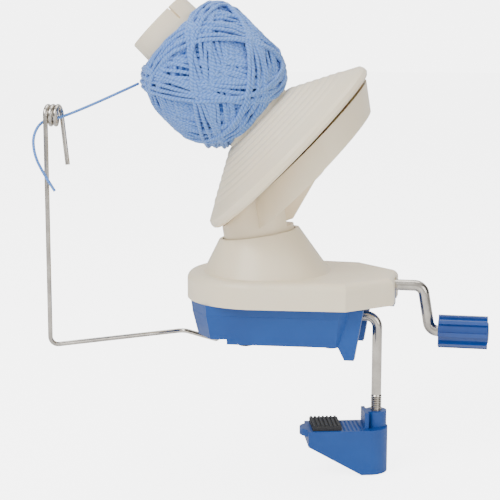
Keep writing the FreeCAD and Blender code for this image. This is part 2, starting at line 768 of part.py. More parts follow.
def bobbin():
    """Hollow tapered core with a yarn slit at its free end."""
    slope = (bobbin_bottom_radius - bobbin_top_radius) / (bobbin_top - plate_top)
    inner_low = bobbin_bottom_radius - bobbin_wall
    inner_high = bobbin_top_radius - bobbin_wall
    body = turned([(socket_radius, plate_top),
                   (bobbin_bottom_radius, plate_top),
                   (bobbin_top_radius, bobbin_top - 0.6),
                   (bobbin_top_radius - 0.6, bobbin_top),
                   (inner_high + 0.4, bobbin_top),
                   (inner_high, bobbin_top - 0.6),
                   (inner_high + slope * 10.0, bobbin_top - 11.0),
                   (6.0, bobbin_top - 11.0),
                   (6.0, bobbin_top - 13.0),
                   (inner_high + slope * 13.0, bobbin_top - 13.0),
                   (inner_low, plate_top + 2.0),
                   (socket_radius + 2.0, plate_top + 2.0),
                   (socket_radius + 2.0, hub_top_w),
                   (socket_radius, hub_top_w)])
    slit = box(10.0, 30.0, -0.8, 0.8, bobbin_top - 10.0, bobbin_top + 1.0)
    turn_slit = FreeCAD.Placement(V(0, 0, 0), FreeCAD.Rotation(up, -62.0))
    body = body.cut(placed(slit, turn_slit))
    return placed(body, spool_frame)


ball_low = plate_top + 0.3
ball_points = [(27.0, ball_low), (34.0, 36.0), (40.2, 48.0), (42.6, 62.0), (42.6, 75.0),
               (40.6, 89.0), (37.0, 99.5), (31.0, 105.0), (23.5, 107.5)]


def yarn_ball():
    """The wound yarn round the bobbin as one body."""
    scale = ball_radius / 42.6
    slope = (bobbin_bottom_radius - bobbin_top_radius) / (bobbin_top - plate_top)
    core_low = bobbin_bottom_radius - slope * (ball_low - plate_top) + 0.05
    core_high = bobbin_bottom_radius - slope * (ball_points[-1][1] - plate_top) + 0.05
    outer = [V(core_high, 0, ball_points[-1][1])]
    curve_points = [V(r * scale, 0, w) for r, w in ball_points]
    curve = Part.BSplineCurve()
    curve.interpolate(curve_points)
    top_line = Part.LineSegment(V(core_high, 0, ball_points[-1][1]), curve_points[-1]).toShape()
    inner_line = Part.LineSegment(V(core_low, 0, ball_low), outer[0]).toShape()
    low_line = Part.LineSegment(V(core_low, 0, ball_low), curve_points[0]).toShape()
    face = Part.Face(Part.Wire([inner_line, top_line, curve.toShape(), low_line]))
    ball = face.revolve(V(0, 0, 0), up, 360)
    return placed(ball, spool_frame)


# ---- crank ------------------------------------------------------------------
shaft_start = crank_web + 0.5
knob_z = crank_z - crank_arm_drop
crank_bend = 6.0
knob_pocket = knob_length - 6.2


def crank_rod():
    points = [V(shaft_start, 0, crank_z),
              V(crank_bend_x, 0, crank_z),
              V(crank_bend_x + crank_arm_out, 0, knob_z),
              V(knob_start + knob_pocket + 2.2, 0, knob_z)]
    rod = bent_rod(points, crank_rod_radius, [crank_bend, crank_bend])
    return rod.cut(gear_pin())


gear_back = crank_web + 2.2
hub_end = inner_bearing_x - bearing_length / 2 - 0.4


def crank_gear():
    outline = tooth_outline(crank_teeth, crank_cone, drive_slant, tooth_share,
                            drive_add, drive_ded, 0.0)
    teeth = toothed_cone(outline, crank_near, crank_web)
    root_near = crank_near * math.tan(crank_cone - drive_ded / drive_slant)
    teeth = teeth.cut(cylinder(root_near - 1.5, 0.0, crank_web + 1))
    web = tube(crank_outer, crank_rod_radius, crank_web - 0.01, gear_back)
    hub = tube(7.0, crank_rod_radius, crank_web, hub_end)
    gear = teeth.fuse(web).fuse(hub)
    to_crank = FreeCAD.Placement(crossing, FreeCAD.Rotation(V(0, 1, 0), 90))
    pin_hole = Part.makeCylinder(1.0, 20.0, V(0, -10.0, hub_end - 2.0), V(0, 1, 0))
    gear = gear.cut(pin_hole)
    return placed(gear.removeSplitter(), to_crank)


def gear_pin():
    """Cross pin that locks the bevel gear to the crank shaft."""
    x = hub_end - 2.0
    return Part.makeCylinder(1.0, 14.4, V(x, -7.2, crank_z), V(0, 1, 0))


def crank_clip():
    """Push-on ring on the shaft just inside the outer bearing."""
    x = outer_bearing_x - bearing_length / 2 - 1.6
    ring_radius = cover_top_z - wall - crank_z - face_gap
    ring = along_x(ring_radius, x, x + 1.2, crank_z)
    return ring.cut(along_x(crank_rod_radius, x - 1, x + 3, crank_z))


def crank_knob():
    body = cylinder(knob_radius - 1.9, 0.0, knob_length)
    for k in range(knob_ribs):
        rib = box(knob_radius - 4.0, knob_radius, -1.3, 1.3, 0.0, knob_length)
        spin = FreeCAD.Placement(V(0, 0, 0), FreeCAD.Rotation(up, 360.0 * k / knob_ribs))
        body = body.fuse(placed(rib, spin))
    bore = cylinder(crank_rod_radius + running_gap, -1.0, knob_length)
    body = body.cut(bore).cut(cylinder(knob_radius - 3.6, knob_pocket, knob_length + 1))
    to_knob = FreeCAD.Placement(V(knob_start, 0, knob_z), FreeCAD.Rotation(V(0, 1, 0), 90))
    return placed(body.removeSplitter(), to_knob)


def knob_washer():
    """Steel washer pressed on the rod end, which keeps the knob on."""
    washer = tube(knob_radius - 3.6 - face_gap, crank_rod_radius, knob_pocket + face_gap,
                  knob_pocket + face_gap + 1.4)
    to_knob = FreeCAD.Placement(V(knob_start, 0, knob_z), FreeCAD.Rotation(V(0, 1, 0), 90))
    return placed(washer, to_knob)


def knob_cap():
    cap = turned([(0.0, knob_length - 2.0), (knob_radius - 3.6, knob_length - 2.0),
                  (knob_radius - 3.6, knob_length), (knob_radius - 4.4, knob_length + 0.6),
                  (0.0, knob_length + 0.9)])
    to_knob = FreeCAD.Placement(V(knob_start, 0, knob_z), FreeCAD.Rotation(V(0, 1, 0), 90))
    return placed(cap, to_knob)


# ---- clamp ------------------------------------------------------------------
clamp_bend = 7.5


def clamp_rod():
    points = [V(clamp_socket_start - 5.0, 0, clamp_z), V(clamp_x, 0, clamp_z),
              V(clamp_x, 0, thread_top)]
    rod = bent_rod(points, clamp_rod_radius, [clamp_bend])
    outline = [(0.0, rod_end_z)]
    turns = int((thread_top - rod_end_z) / thread_pitch)
    root = thread_radius - 0.5
    for k in range(turns):
        z = rod_end_z + k * thread_pitch
        outline.append((root, z))
        outline.append((thread_radius, z + 0.4 * thread_pitch))
        outline.append((thread_radius, z + 0.6 * thread_pitch))
    outline.append((root, thread_top))
    outline.append((0.0, thread_top))
    thread = turned(outline)
    thread.translate(V(clamp_x, 0, 0))
    return rod.fuse(thread)


def clamp_clip():
    """Spring ring that keeps the clamp rod in its socket."""
    x = clamp_socket_start - 2.0
    ring = along_x(5.4, x, x + 1.5, clamp_z)
    return ring.cut(along_x(clamp_rod_radius, x - 1, x + 3, clamp_z))


def foot_frame():
    return FreeCAD.Placement(V(clamp_x, 0, 0), FreeCAD.Rotation(up, foot_turn))


def clamp_foot():
    side = [(-foot_reach, foot_top_z), (-foot_reach, foot_top_z - 10.0),
            (-11.0, foot_bottom_z), (20.0, foot_bottom_z), (20.0, foot_top_z)]
    corners = [V(x, -foot_half, z) for x, z in side]
    corners.append(corners[0])
    wedge = Part.Face(Part.makePolygon(corners)).extrude(V(0, 2 * foot_half, 0))
    end_x = foot_post_radius - foot_half + 0.8
    plan = box(-beyond, end_x, -foot_half, foot_half, foot_bottom_z - 1, foot_top_z + 1)
    plan = plan.fuse(cylinder(foot_half, foot_bottom_z - 1, foot_top_z + 1, end_x))
    body = wedge.common(plan)
    inner_side = [(-foot_reach + wall, foot_top_z - 4.5), (-foot_reach + wall, foot_top_z - 9.0),
                  (-foot_reach + wall, foot_top_z - 30.0), (-6.0, foot_bottom_z - 8.0),
                  (-foot_post_radius - wall, foot_bottom_z - 8.0),
                  (-foot_post_radius - wall, foot_top_z - 4.5)]
    corners = [V(x, -foot_half + wall, z) for x, z in inner_side]
    corners.append(corners[0])
    pocket = Part.Face(Part.makePolygon(corners)).extrude(V(0, 2 * (foot_half - wall), 0))
    body = body.cut(pocket)
    # rounded tongue at the free end of the platform
    tongue = cylinder(9.0, foot_top_z - 4.5, foot_top_z, -foot_reach + 4.5)
    body = body.fuse(tongue)
    # post and stop wall
    body = body.fuse(cylinder(foot_post_radius, foot_bottom_z, foot_post_top))
    body = body.fuse(box(-8.6, -6.2, -9.0, 9.0, foot_top_z, foot_post_top))
    body = body.fuse(box(-8.0, 0.0, -4.5, 4.5, foot_top_z, foot_post_top))
    # recess for the pad, and the rod hole
    body = body.cut(box(-42.5, -24.0, -11.0, 11.0, foot_top_z - 1.2, foot_top_z + 1))
    body = body.cut(cylinder(thread_radius + running_gap, foot_bottom_z - 1, foot_post_top + 1))
    body = body.removeSplitter()
    return placed(body, foot_frame()).cut(clamp_nut())


def clamp_nut():
    """Threaded insert moulded into the clamp foot."""
    corners = [(5.6 * math.cos(math.radians(60 * k)), 5.6 * math.sin(math.radians(60 * k)))
               for k in range(6)]
    nut = polygon_face(corners, foot_bottom_z + 4.0).extrude(V(0, 0, 6.0))
    nut = nut.cut(cylinder(thread_radius + running_gap, foot_bottom_z, foot_top_z))
    return placed(nut, foot_frame())


def foot_pad():
    pad = box(-42.5, -24.0, -11.0, 11.0, foot_top_z - 1.2, foot_top_z + 3.0)
    for k in range(7):
        x = -42.0 + k * 2.6
        pad = pad.fuse(box(x, x + 1.4, -11.0, 11.0, foot_top_z + 3.0, foot_top_z + 3.8))
    return placed(pad.removeSplitter(), foot_frame())


# ---- yarn guide -------------------------------------------------------------
heading = math.radians(coil_heading)
coil_axis = V(math.cos(heading), math.sin(heading), 0)
coil_back = V(-math.sin(heading), math.cos(heading), 0)
coil_length = coil_pitch * coil_turns
coil_centre = V(guide_foot.x, guide_foot.y, coil_height)
coil_centre = coil_centre + coil_back * coil_radius + coil_axis * (coil_length / 2)


def coil_points():
    """Corners round the coil, eight to a turn, just outside the wire's centre line."""
    step = math.radians(45.0)
    corner_radius = coil_radius / math.cos(step / 2)
    start = V(guide_foot.x, guide_foot.y, coil_height) + coil_back * coil_radius
    points = []
    for k in range(int(coil_turns * 8)):
        angle = step * (k + 0.5)
        sideways = coil_back * (-corner_radius * math.cos(angle))
        upward = up * (corner_radius * math.sin(angle))
        points.append(start + sideways + upward + coil_axis * (coil_pitch * angle / (2 * math.pi)))
    return points


def guide_wire():
    """One wire: socket, run under the base, upright, coil and hanging tail."""
    low = [V(guide_pivot.x, guide_pivot.y, guide_socket_top - 1.0),
           guide_pivot, guide_elbow, guide_foot]
    coil = coil_points()
    tail_end = coil[-1] - up * guide_tail + coil_axis * (0.1 * guide_tail)
    bends = [guide_pivot_bend, guide_bend, guide_bend] + [coil_bend] * len(coil)
    return bent_rod(low + coil + [tail_end], guide_radius, bends)


def rounded_route(points):
    """Straight runs joined by tangent arcs; returns edges, radii and length."""
    edges = []
    radii = []
    start = points[0]
    for i in range(1, len(points) - 1):
        corner = points[i]
        before = corner - points[i - 1]
        after = points[i + 1] - corner
        run = min(before.Length, after.Length)
        half = before.getAngle(after) / 2
        radius = 0.45 * run / math.tan(half)
        into = FreeCAD.Vector(before).normalize()
        out = FreeCAD.Vector(after).normalize()
        first = corner - into * (0.45 * run)
        last = corner + out * (0.45 * run)
        inward = (out - into).normalize()
        centre = corner + inward * (radius / math.cos(half))
        edges.append(Part.LineSegment(start, first).toShape())
        edges.append(Part.Arc(first, centre - inward * radius, last).toShape())
        radii.append(radius)
        start = last
    edges.append(Part.LineSegment(start, points[-1]).toShape())
    return edges, radii


strand_meet = spool_frame.multVec(V(-39.1, 0, 100.5))
# route from the ball, through the coil, and down to the free end
strand_in = coil_centre + coil_axis * 7.0 - up * 1.6
strand_out = coil_centre - coil_axis * 6.6 - up * 2.6
# the free end wanders past the upright: steps sideways, up and forward of its top
tail_heading = math.radians(11.0)
along_tail = V(math.cos(tail_heading), math.sin(tail_heading), 0)
across_tail = V(math.sin(tail_heading), -math.cos(tail_heading), 0)
strand_tail = [(-7.3, -11.2, 2.0), (-6.4, -21.8, 6.0), (-2.4, -32.4, 5.5), (5.6, -45.6, 4.5)]
upright_top = V(guide_foot.x, guide_foot.y, coil_height)


def strand_points():
    points = [strand_meet, strand_in, strand_out]
    for side, rise, toward in strand_tail:
        points.append(upright_top + along_tail * side + up * rise + across_tail * toward)
    return points


def yarn_strand():
    edges, radii = rounded_route(strand_points())
    path = Part.Wire(edges)
    first = strand_points()[0]
    way = (strand_points()[1] - first).normalize()
    section = Part.Wire(Part.Circle(first, way, strand_diameter / 2).toShape())
    body = path.makePipeShell([section], True, False)
    expected = math.pi * strand_diameter ** 2 / 4 * path.Length
    print("strand length", round(path.Length, 2), "volume ratio", round(body.Volume / expected, 4))
    print("strand bend radii", [round(r, 2) for r in radii])
    for point in strand_points():
        print("strand point", round(point.x, 2), round(point.y, 2), round(point.z, 2))
    return body


# ---- write every node -------------------------------------------------------
nodes = {
    "base_shell": base_shell,
    "top_cover": top_cover,
    "rubber_feet": rubber_feet,
    "cover_screws": cover_screws,
    "turret_post": turret_post,
    "post_screw": post_screw,
    "thrust_washer": thrust_washer,
    "crank_bushings": crank_bushings,
    "sun_pinion": sun_pinion,
    "sun_nut": sun_nut,
    "turret_arm": turret_arm,
    "drive_tube": drive_tube,
    "drive_pinion": drive_pinion,
    "turret_screws": turret_screws,
    "spindle_pin": spindle_pin,
    "spindle_clip": spindle_clip,
    "winding_plate": winding_plate,
    "ring_gear": ring_gear,
    "bobbin": bobbin,
    "yarn_ball": yarn_ball,
    "crank_rod": crank_rod,
    "crank_gear": crank_gear,
    "gear_pin": gear_pin,
    "crank_clip": crank_clip,
    "crank_knob": crank_knob,
    "knob_washer": knob_washer,
    "knob_cap": knob_cap,
    "clamp_rod": clamp_rod,
    "clamp_clip": clamp_clip,
    "clamp_foot": clamp_foot,
    "clamp_nut": clamp_nut,
    "foot_pad": foot_pad,
    "guide_wire": guide_wire,
    "yarn_strand": yarn_strand,
}

for name, make in nodes.items():
    save(name, make())
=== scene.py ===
import json
import math

import bmesh
import bpy
import numpy as np
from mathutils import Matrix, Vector


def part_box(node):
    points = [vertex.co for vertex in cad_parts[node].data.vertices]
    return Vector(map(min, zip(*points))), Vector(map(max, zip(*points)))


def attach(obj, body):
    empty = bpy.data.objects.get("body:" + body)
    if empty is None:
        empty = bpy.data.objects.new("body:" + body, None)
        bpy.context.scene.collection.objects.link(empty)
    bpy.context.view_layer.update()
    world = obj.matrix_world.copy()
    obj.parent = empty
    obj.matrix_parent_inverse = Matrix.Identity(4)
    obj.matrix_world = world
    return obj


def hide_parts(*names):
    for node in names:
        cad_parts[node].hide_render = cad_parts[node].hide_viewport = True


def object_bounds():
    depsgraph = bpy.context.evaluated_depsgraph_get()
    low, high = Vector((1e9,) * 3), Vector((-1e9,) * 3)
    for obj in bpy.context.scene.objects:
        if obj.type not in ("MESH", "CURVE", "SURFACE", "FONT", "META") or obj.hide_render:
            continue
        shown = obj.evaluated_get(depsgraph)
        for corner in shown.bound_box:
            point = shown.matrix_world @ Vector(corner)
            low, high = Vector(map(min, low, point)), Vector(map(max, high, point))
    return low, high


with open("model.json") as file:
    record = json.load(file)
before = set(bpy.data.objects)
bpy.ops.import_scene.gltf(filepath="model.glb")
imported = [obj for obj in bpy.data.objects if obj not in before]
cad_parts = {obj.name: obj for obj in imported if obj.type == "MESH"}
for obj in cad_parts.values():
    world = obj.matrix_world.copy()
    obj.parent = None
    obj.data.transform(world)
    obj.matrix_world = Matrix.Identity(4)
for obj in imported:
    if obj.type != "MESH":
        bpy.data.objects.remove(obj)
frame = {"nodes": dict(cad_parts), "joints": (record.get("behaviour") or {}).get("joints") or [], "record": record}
cad_low, cad_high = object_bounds()

# ---- camera: a little to the right of straight on and just above the table ----
camera_place = Vector((0.151, -0.834, 0.195))
camera_target = Vector((-0.011, 0.0, 0.056))
view_width = 0.325      # metres across the picture at the target
sensor_width = 36.0
camera_data = bpy.data.cameras.new("camera")
camera = bpy.data.objects.new("camera", camera_data)
bpy.context.collection.objects.link(camera)
camera.location = camera_place
camera.rotation_euler = (camera_target - camera_place).to_track_quat("-Z", "Y").to_euler()
camera_data.sensor_width = sensor_width
camera_data.lens = (camera_target - camera_place).length / view_width * sensor_width
camera_data.clip_end = 20.0
bpy.context.scene.camera = camera

# ---- spool axis, as its joint gives it ----------------------------------------
joints = {j["name"]: j for j in frame["joints"]}
spool_joint = joints["spindle_spin"]
spool_axis = Vector(spool_joint["axis"]).normalized()
apex = Vector(spool_joint["pos_m"])
rim_drop = 0.0473       # from the crossing of the axes down to the plate rim
spool_origin = apex - spool_axis * rim_drop
spool_side = Vector((0, 1, 0)).cross(spool_axis).normalized()
spool_front = spool_axis.cross(spool_side)


# ---- mesh helpers -------------------------------------------------------------
def make_mesh(name, vertices, faces, uvs=None, smooth=True):
    mesh = bpy.data.meshes.new(name)
    mesh.from_pydata([tuple(v) for v in vertices], [], [tuple(f) for f in faces])
    if uvs is not None:
        layer = mesh.uv_layers.new(name="UVMap")
        layer.data.foreach_set("uv", np.asarray(uvs, dtype=float).ravel())
    mesh.polygons.foreach_set("use_smooth", [smooth] * len(mesh.polygons))
    mesh.update()
    obj = bpy.data.objects.new(name, mesh)
    bpy.context.collection.objects.link(obj)
    return obj


def tube_arrays(points, normals, radius, sides, flat=1.0, start=0):
    """Vertices, faces and uvs of a tube; u is the length in metres, v goes round."""
    points = np.asarray(points)
    tangents = np.gradient(points, axis=0)
    tangents /= np.linalg.norm(tangents, axis=1)[:, None]
    normals = normals - tangents * np.sum(normals * tangents, axis=1)[:, None]
    normals /= np.linalg.norm(normals, axis=1)[:, None]
    binormals = np.cross(tangents, normals)
    length = np.concatenate([[0], np.cumsum(np.linalg.norm(np.diff(points, axis=0), axis=1))])
    angles = np.linspace(0, 2 * math.pi, sides, endpoint=False)
    ring = (normals[:, None, :] * (np.cos(angles) * flat)[None, :, None]
            + binormals[:, None, :] * np.sin(angles)[None, :, None])
    vertices = (points[:, None, :] + ring * radius).reshape(-1, 3)
    count = len(points)
    i = np.arange(count - 1)[:, None]
    j = np.arange(sides)[None, :]
    k = (j + 1) % sides
    faces = np.stack([i * sides + j, i * sides + k, (i + 1) * sides + k, (i + 1) * sides + j],
                     axis=-1).reshape(-1, 4) + start
    u0 = np.broadcast_to(length[:-1, None], (count - 1, sides))
    u1 = np.broadcast_to(length[1:, None], (count - 1, sides))
    v0 = np.broadcast_to(np.arange(sides)[None, :] / sides, (count - 1, sides))
    v1 = v0 + 1.0 / sides
    uvs = np.stack([np.stack([u0, v0], -1), np.stack([u0, v1], -1),
                    np.stack([u1, v1], -1), np.stack([u1, v0], -1)], axis=-2).reshape(-1, 2)
    return vertices, faces, uvs


# ---- materials ----------------------------------------------------------------
def new_material(name):
    material = bpy.data.materials.new(name)
    material.use_nodes = True
    tree = material.node_tree
    return material, tree, tree.nodes["Principled BSDF"]


def node(tree, kind, **settings):
    made = tree.nodes.new(kind)
    for key, value in settings.items():
        setattr(made, key, value)
    return made


def colour_ramp(tree, source, stops):
    ramp = node(tree, "ShaderNodeValToRGB")
    elements = ramp.color_ramp.elements
    while len(elements) < len(stops):
        elements.new(0.5)
    for element, (position, colour) in zip(elements, stops):
        element.position = position
        element.color = (*colour, 1.0)
    tree.links.new(source, ramp.inputs["Fac"])
    return ramp


def noise(tree, scale, detail=4.0, rough=0.55, stretch=None):
    coordinates = node(tree, "ShaderNodeTexCoord")
    texture = node(tree, "ShaderNodeTexNoise")
    texture.inputs["Scale"].default_value = scale
    texture.inputs["Detail"].default_value = detail
    texture.inputs["Roughness"].default_value = rough
    if stretch is None:
        tree.links.new(coordinates.outputs["Object"], texture.inputs["Vector"])
    else:
        mapping = node(tree, "ShaderNodeMapping")
        mapping.inputs["Scale"].default_value = stretch
        tree.links.new(coordinates.outputs["Object"], mapping.inputs["Vector"])
        tree.links.new(mapping.outputs["Vector"], texture.inputs["Vector"])
    return texture


def add_bump(tree, shader, height, strength, distance):
    bump = node(tree, "ShaderNodeBump")
    bump.inputs["Strength"].default_value = strength
    bump.inputs["Distance"].default_value = distance
    tree.links.new(height, bump.inputs["Height"])
    tree.links.new(bump.outputs["Normal"], shader.inputs["Normal"])
    return bump


def moulded_plastic(name, light, dark, roughness, grain_scale, grain_strength, coat=0.0,
                    subsurface=0.0):
    """Moulded plastic: faint flow mottling, fine grain, and roughness that varies."""
    material, tree, shader = new_material(name)
    flow = noise(tree, 22.0, 3.0)
    ramp = colour_ramp(tree, flow.outputs["Fac"], [(0.3, dark), (0.7, light)])
    tree.links.new(ramp.outputs["Color"], shader.inputs["Base Color"])
    wear = noise(tree, 160.0, 5.0, 0.6)
    spread = node(tree, "ShaderNodeMapRange")
    spread.inputs["To Min"].default_value = roughness - 0.06
    spread.inputs["To Max"].default_value = roughness + 0.08
    tree.links.new(wear.outputs["Fac"], spread.inputs["Value"])
    tree.links.new(spread.outputs["Result"], shader.inputs["Roughness"])
    grain = noise(tree, grain_scale, 2.0, 0.5)
    add_bump(tree, shader, grain.outputs["Fac"], grain_strength, 0.0003)
    shader.inputs["IOR"].default_value = 1.48
    shader.inputs["Coat Weight"].default_value = coat
    shader.inputs["Coat Roughness"].default_value = 0.12
    shader.inputs["Subsurface Weight"].default_value = subsurface
    shader.inputs["Subsurface Radius"].default_value = (0.004, 0.003, 0.002)
    shader.inputs["Subsurface Scale"].default_value = 1.0
    return material


def plated_metal(name, colour, dull, roughness, scratch_stretch):
    """Nickel or zinc plating: drawn streaks along the part and slightly uneven shine."""
    material, tree, shader = new_material(name)
    streaks = noise(tree, 90.0, 5.0, 0.6, scratch_stretch)
    ramp = colour_ramp(tree, streaks.outputs["Fac"], [(0.35, dull), (0.65, colour)])
    tree.links.new(ramp.outputs["Color"], shader.inputs["Base Color"])
    shader.inputs["Metallic"].default_value = 1.0
    spread = node(tree, "ShaderNodeMapRange")
    spread.inputs["To Min"].default_value = roughness - 0.07
    spread.inputs["To Max"].default_value = roughness + 0.10
    tree.links.new(streaks.outputs["Fac"], spread.inputs["Value"])
    tree.links.new(spread.outputs["Result"], shader.inputs["Roughness"])
    add_bump(tree, shader, streaks.outputs["Fac"], 0.12, 0.0002)
    return material


ply_count = 2


def yarn_material(name, deep, middle, pale, ply_pitch):
    """Plied wool: twisted plies, painted shade in the grooves and painted light on the ply crests, fibre fuzz and
    soft sheen.
    """
    material, tree, shader = new_material(name)
    uv = node(tree, "ShaderNodeUVMap")
    uv.uv_map = "UVMap"
    split = node(tree, "ShaderNodeSeparateXYZ")
    tree.links.new(uv.outputs["UV"], split.inputs["Vector"])
    along = node(tree, "ShaderNodeMath", operation="MULTIPLY")
    along.inputs[1].default_value = 1.0 / ply_pitch
    tree.links.new(split.outputs["X"], along.inputs[0])
    wobble_noise = noise(tree, 260.0, 2.0)
    wobble = node(tree, "ShaderNodeMath", operation="MULTIPLY")
    wobble.inputs[1].default_value = 0.45
    tree.links.new(wobble_noise.outputs["Fac"], wobble.inputs[0])
    total = node(tree, "ShaderNodeMath", operation="ADD")
    tree.links.new(along.outputs[0], total.inputs[0])
    tree.links.new(split.outputs["Y"], total.inputs[1])
    twist = node(tree, "ShaderNodeMath", operation="ADD")
    tree.links.new(total.outputs[0], twist.inputs[0])
    tree.links.new(wobble.outputs[0], twist.inputs[1])
    plies = node(tree, "ShaderNodeMath", operation="MULTIPLY")
    plies.inputs[1].default_value = ply_count * 2.0 * math.pi
    tree.links.new(twist.outputs[0], plies.inputs[0])
    wave = node(tree, "ShaderNodeMath", operation="SINE")
    tree.links.new(plies.outputs[0], wave.inputs[0])
    # painted shade: the ply wave darkens the colour in the grooves and lightens it on the crests; the same wave
    # also drives the bump
    ply_groove_shade = node(tree, "ShaderNodeMapRange")
    ply_groove_shade.inputs["From Min"].default_value = -1.0
    ply_groove_shade.inputs["From Max"].default_value = 0.4
    ply_groove_shade.inputs["To Min"].default_value = 0.34
    tree.links.new(wave.outputs[0], ply_groove_shade.inputs["Value"])
    fibre = noise(tree, 1500.0, 3.0, 0.7)
    blend = node(tree, "ShaderNodeMix", data_type="FLOAT")
    blend.inputs["Factor"].default_value = 0.50
    tree.links.new(ply_groove_shade.outputs["Result"], blend.inputs["A"])
    tree.links.new(fibre.outputs["Fac"], blend.inputs["B"])
    batch = noise(tree, 34.0, 2.0)
    tint = node(tree, "ShaderNodeMix", data_type="FLOAT")
    tint.inputs["Factor"].default_value = 0.22
    tree.links.new(blend.outputs["Result"], tint.inputs["A"])
    tree.links.new(batch.outputs["Fac"], tint.inputs["B"])
    # the ramp's dark end carries the painted groove shade and its pale end the painted crest light, mixed with
    # fibre and batch tone
    ramp = colour_ramp(tree, tint.outputs["Result"], [(0.10, deep), (0.45, middle), (0.85, pale)])
    tree.links.new(ramp.outputs["Color"], shader.inputs["Base Color"])
    shader.inputs["Roughness"].default_value = 0.92
    shader.inputs["Sheen Weight"].default_value = 0.45
    shader.inputs["Sheen Roughness"].default_value = 0.5
    shader.inputs["Sheen Tint"].default_value = (0.75, 0.85, 1.0, 1.0)
    shader.inputs["Specular IOR Level"].default_value = 0.25
    add_bump(tree, shader, blend.outputs["Result"], 0.8, 0.0005)
    return material


def rubber_material(name):
    material, tree, shader = new_material(name)
    pores = noise(tree, 900.0, 4.0, 0.7)
    ramp = colour_ramp(tree, pores.outputs["Fac"],
                       [(0.3, (0.006, 0.006, 0.007)), (0.75, (0.028, 0.028, 0.03))])
    tree.links.new(ramp.outputs["Color"], shader.inputs["Base Color"])
    shader.inputs["Roughness"].default_value = 0.62
    add_bump(tree, shader, pores.outputs["Fac"], 0.35, 0.0003)
    return material


ivory = moulded_plastic("ivory_moulding", (0.93, 0.81, 0.61), (0.90, 0.77, 0.56), 0.36, 900.0, 0.06,
                        coat=0.08, subsurface=0.15)
blue = moulded_plastic("blue_moulding", (0.0030, 0.066, 0.300), (0.0022, 0.050, 0.240), 0.42, 900.0, 0.10)
blue_gloss = moulded_plastic("blue_gloss_moulding", (0.0025, 0.048, 0.250), (0.0018, 0.034, 0.190),
                             0.22, 600.0, 0.04, coat=0.4)
nylon = moulded_plastic("nylon", (0.80, 0.76, 0.66), (0.72, 0.68, 0.58), 0.48, 700.0, 0.12,
                        subsurface=0.2)
nickel = plated_metal("nickel_plate", (0.60, 0.56, 0.50), (0.40, 0.37, 0.33), 0.17, (1.0, 1.0, 1.0))
zinc = plated_metal("zinc_plate", (0.58, 0.59, 0.60), (0.40, 0.41, 0.43), 0.34, (1.0, 4.0, 1.0))
brass = plated_metal("brass", (0.72, 0.53, 0.22), (0.55, 0.38, 0.14), 0.30, (1.0, 3.0, 1.0))
rubber = rubber_material("black_rubber")
wool = yarn_material("wool", (0.030, 0.105, 0.400), (0.090, 0.225, 0.620), (0.250, 0.430, 0.840), 0.0046)
# a darker copy of the wool: painted shade for the packed yarn seen between the wraps
wool_shaded_under_wraps = yarn_material("wool_shaded_under_wraps", (0.010, 0.045, 0.220), (0.030, 0.100, 0.380),
                          (0.070, 0.190, 0.560), 0.0046)
wool_loose = yarn_material("wool_loose", (0.040, 0.125, 0.430), (0.085, 0.230, 0.640),
                           (0.190, 0.370, 0.800), 0.0034)

slot_material = {
    "ivory_plastic": ivory,
    "blue_plastic": blue,
    "blue_grip": blue_gloss,
    "nylon": nylon,
    "nickel_steel": nickel,
    "zinc_steel": zinc,
    "brass": brass,
    "black_rubber": rubber,
    "blue_yarn": wool,
}
for entry in frame["record"]["subparts"]:
    cad_node = frame["nodes"][entry["node"]]
    cad_node.data.materials.clear()
    cad_node.data.materials.append(slot_material[entry["material_slot"]])


# ---- loose yarn: from the ball, through the eye and down to its free end ------
strand_route = [
    (-0.08103, -0.01246, 0.16338),
    (-0.11526, -0.05789, 0.14390),
    (-0.12878, -0.05931, 0.14290),
    (-0.13228, -0.06786, 0.13430),
    (-0.13064, -0.07161, 0.12370),
    (-0.12681, -0.07036, 0.11310),
    (-0.11914, -0.06785, 0.09990),
]
route_curve = bpy.data.curves.new("strand_route", "CURVE")
route_curve.dimensions = "3D"
route_curve.resolution_u = 16
route_spline = route_curve.splines.new("NURBS")
route_spline.points.add(len(strand_route) - 1)
for spline_point, place in zip(route_spline.points, strand_route):
    spline_point.co = (*place, 1.0)
route_spline.order_u = 3
route_spline.use_endpoint_u = True
route_object = bpy.data.objects.new("strand_route", route_curve)
bpy.context.collection.objects.link(route_object)
bpy.context.view_layer.update()
route_mesh = bpy.data.meshes.new_from_object(route_object)
strand_line = np.array([v.co for v in route_mesh.vertices])
bpy.data.objects.remove(route_object)
bpy.data.meshes.remove(route_mesh)
line_lengths = np.concatenate([[0], np.cumsum(np.linalg.norm(np.diff(strand_line, axis=0), axis=1))])
strand_length = float(line_lengths[-1])
ring_spacing = 0.0008
fine = np.arange(0, strand_length, ring_spacing)
fine_line = np.stack([np.interp(fine, line_lengths, strand_line[:, a]) for a in range(3)], axis=1)
side_way = np.broadcast_to(np.array([0.3, -1.0, 0.2]), fine_line.shape).copy()
strand_diameter = 0.0018
strand_vertices, strand_faces, strand_uvs = tube_arrays(fine_line, side_way, strand_diameter / 2, 12)
loose_yarn = make_mesh("loose_yarn", strand_vertices, strand_faces, strand_uvs)
loose_yarn.data.materials.append(wool_loose)
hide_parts("yarn_strand")
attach(loose_yarn, "guide")


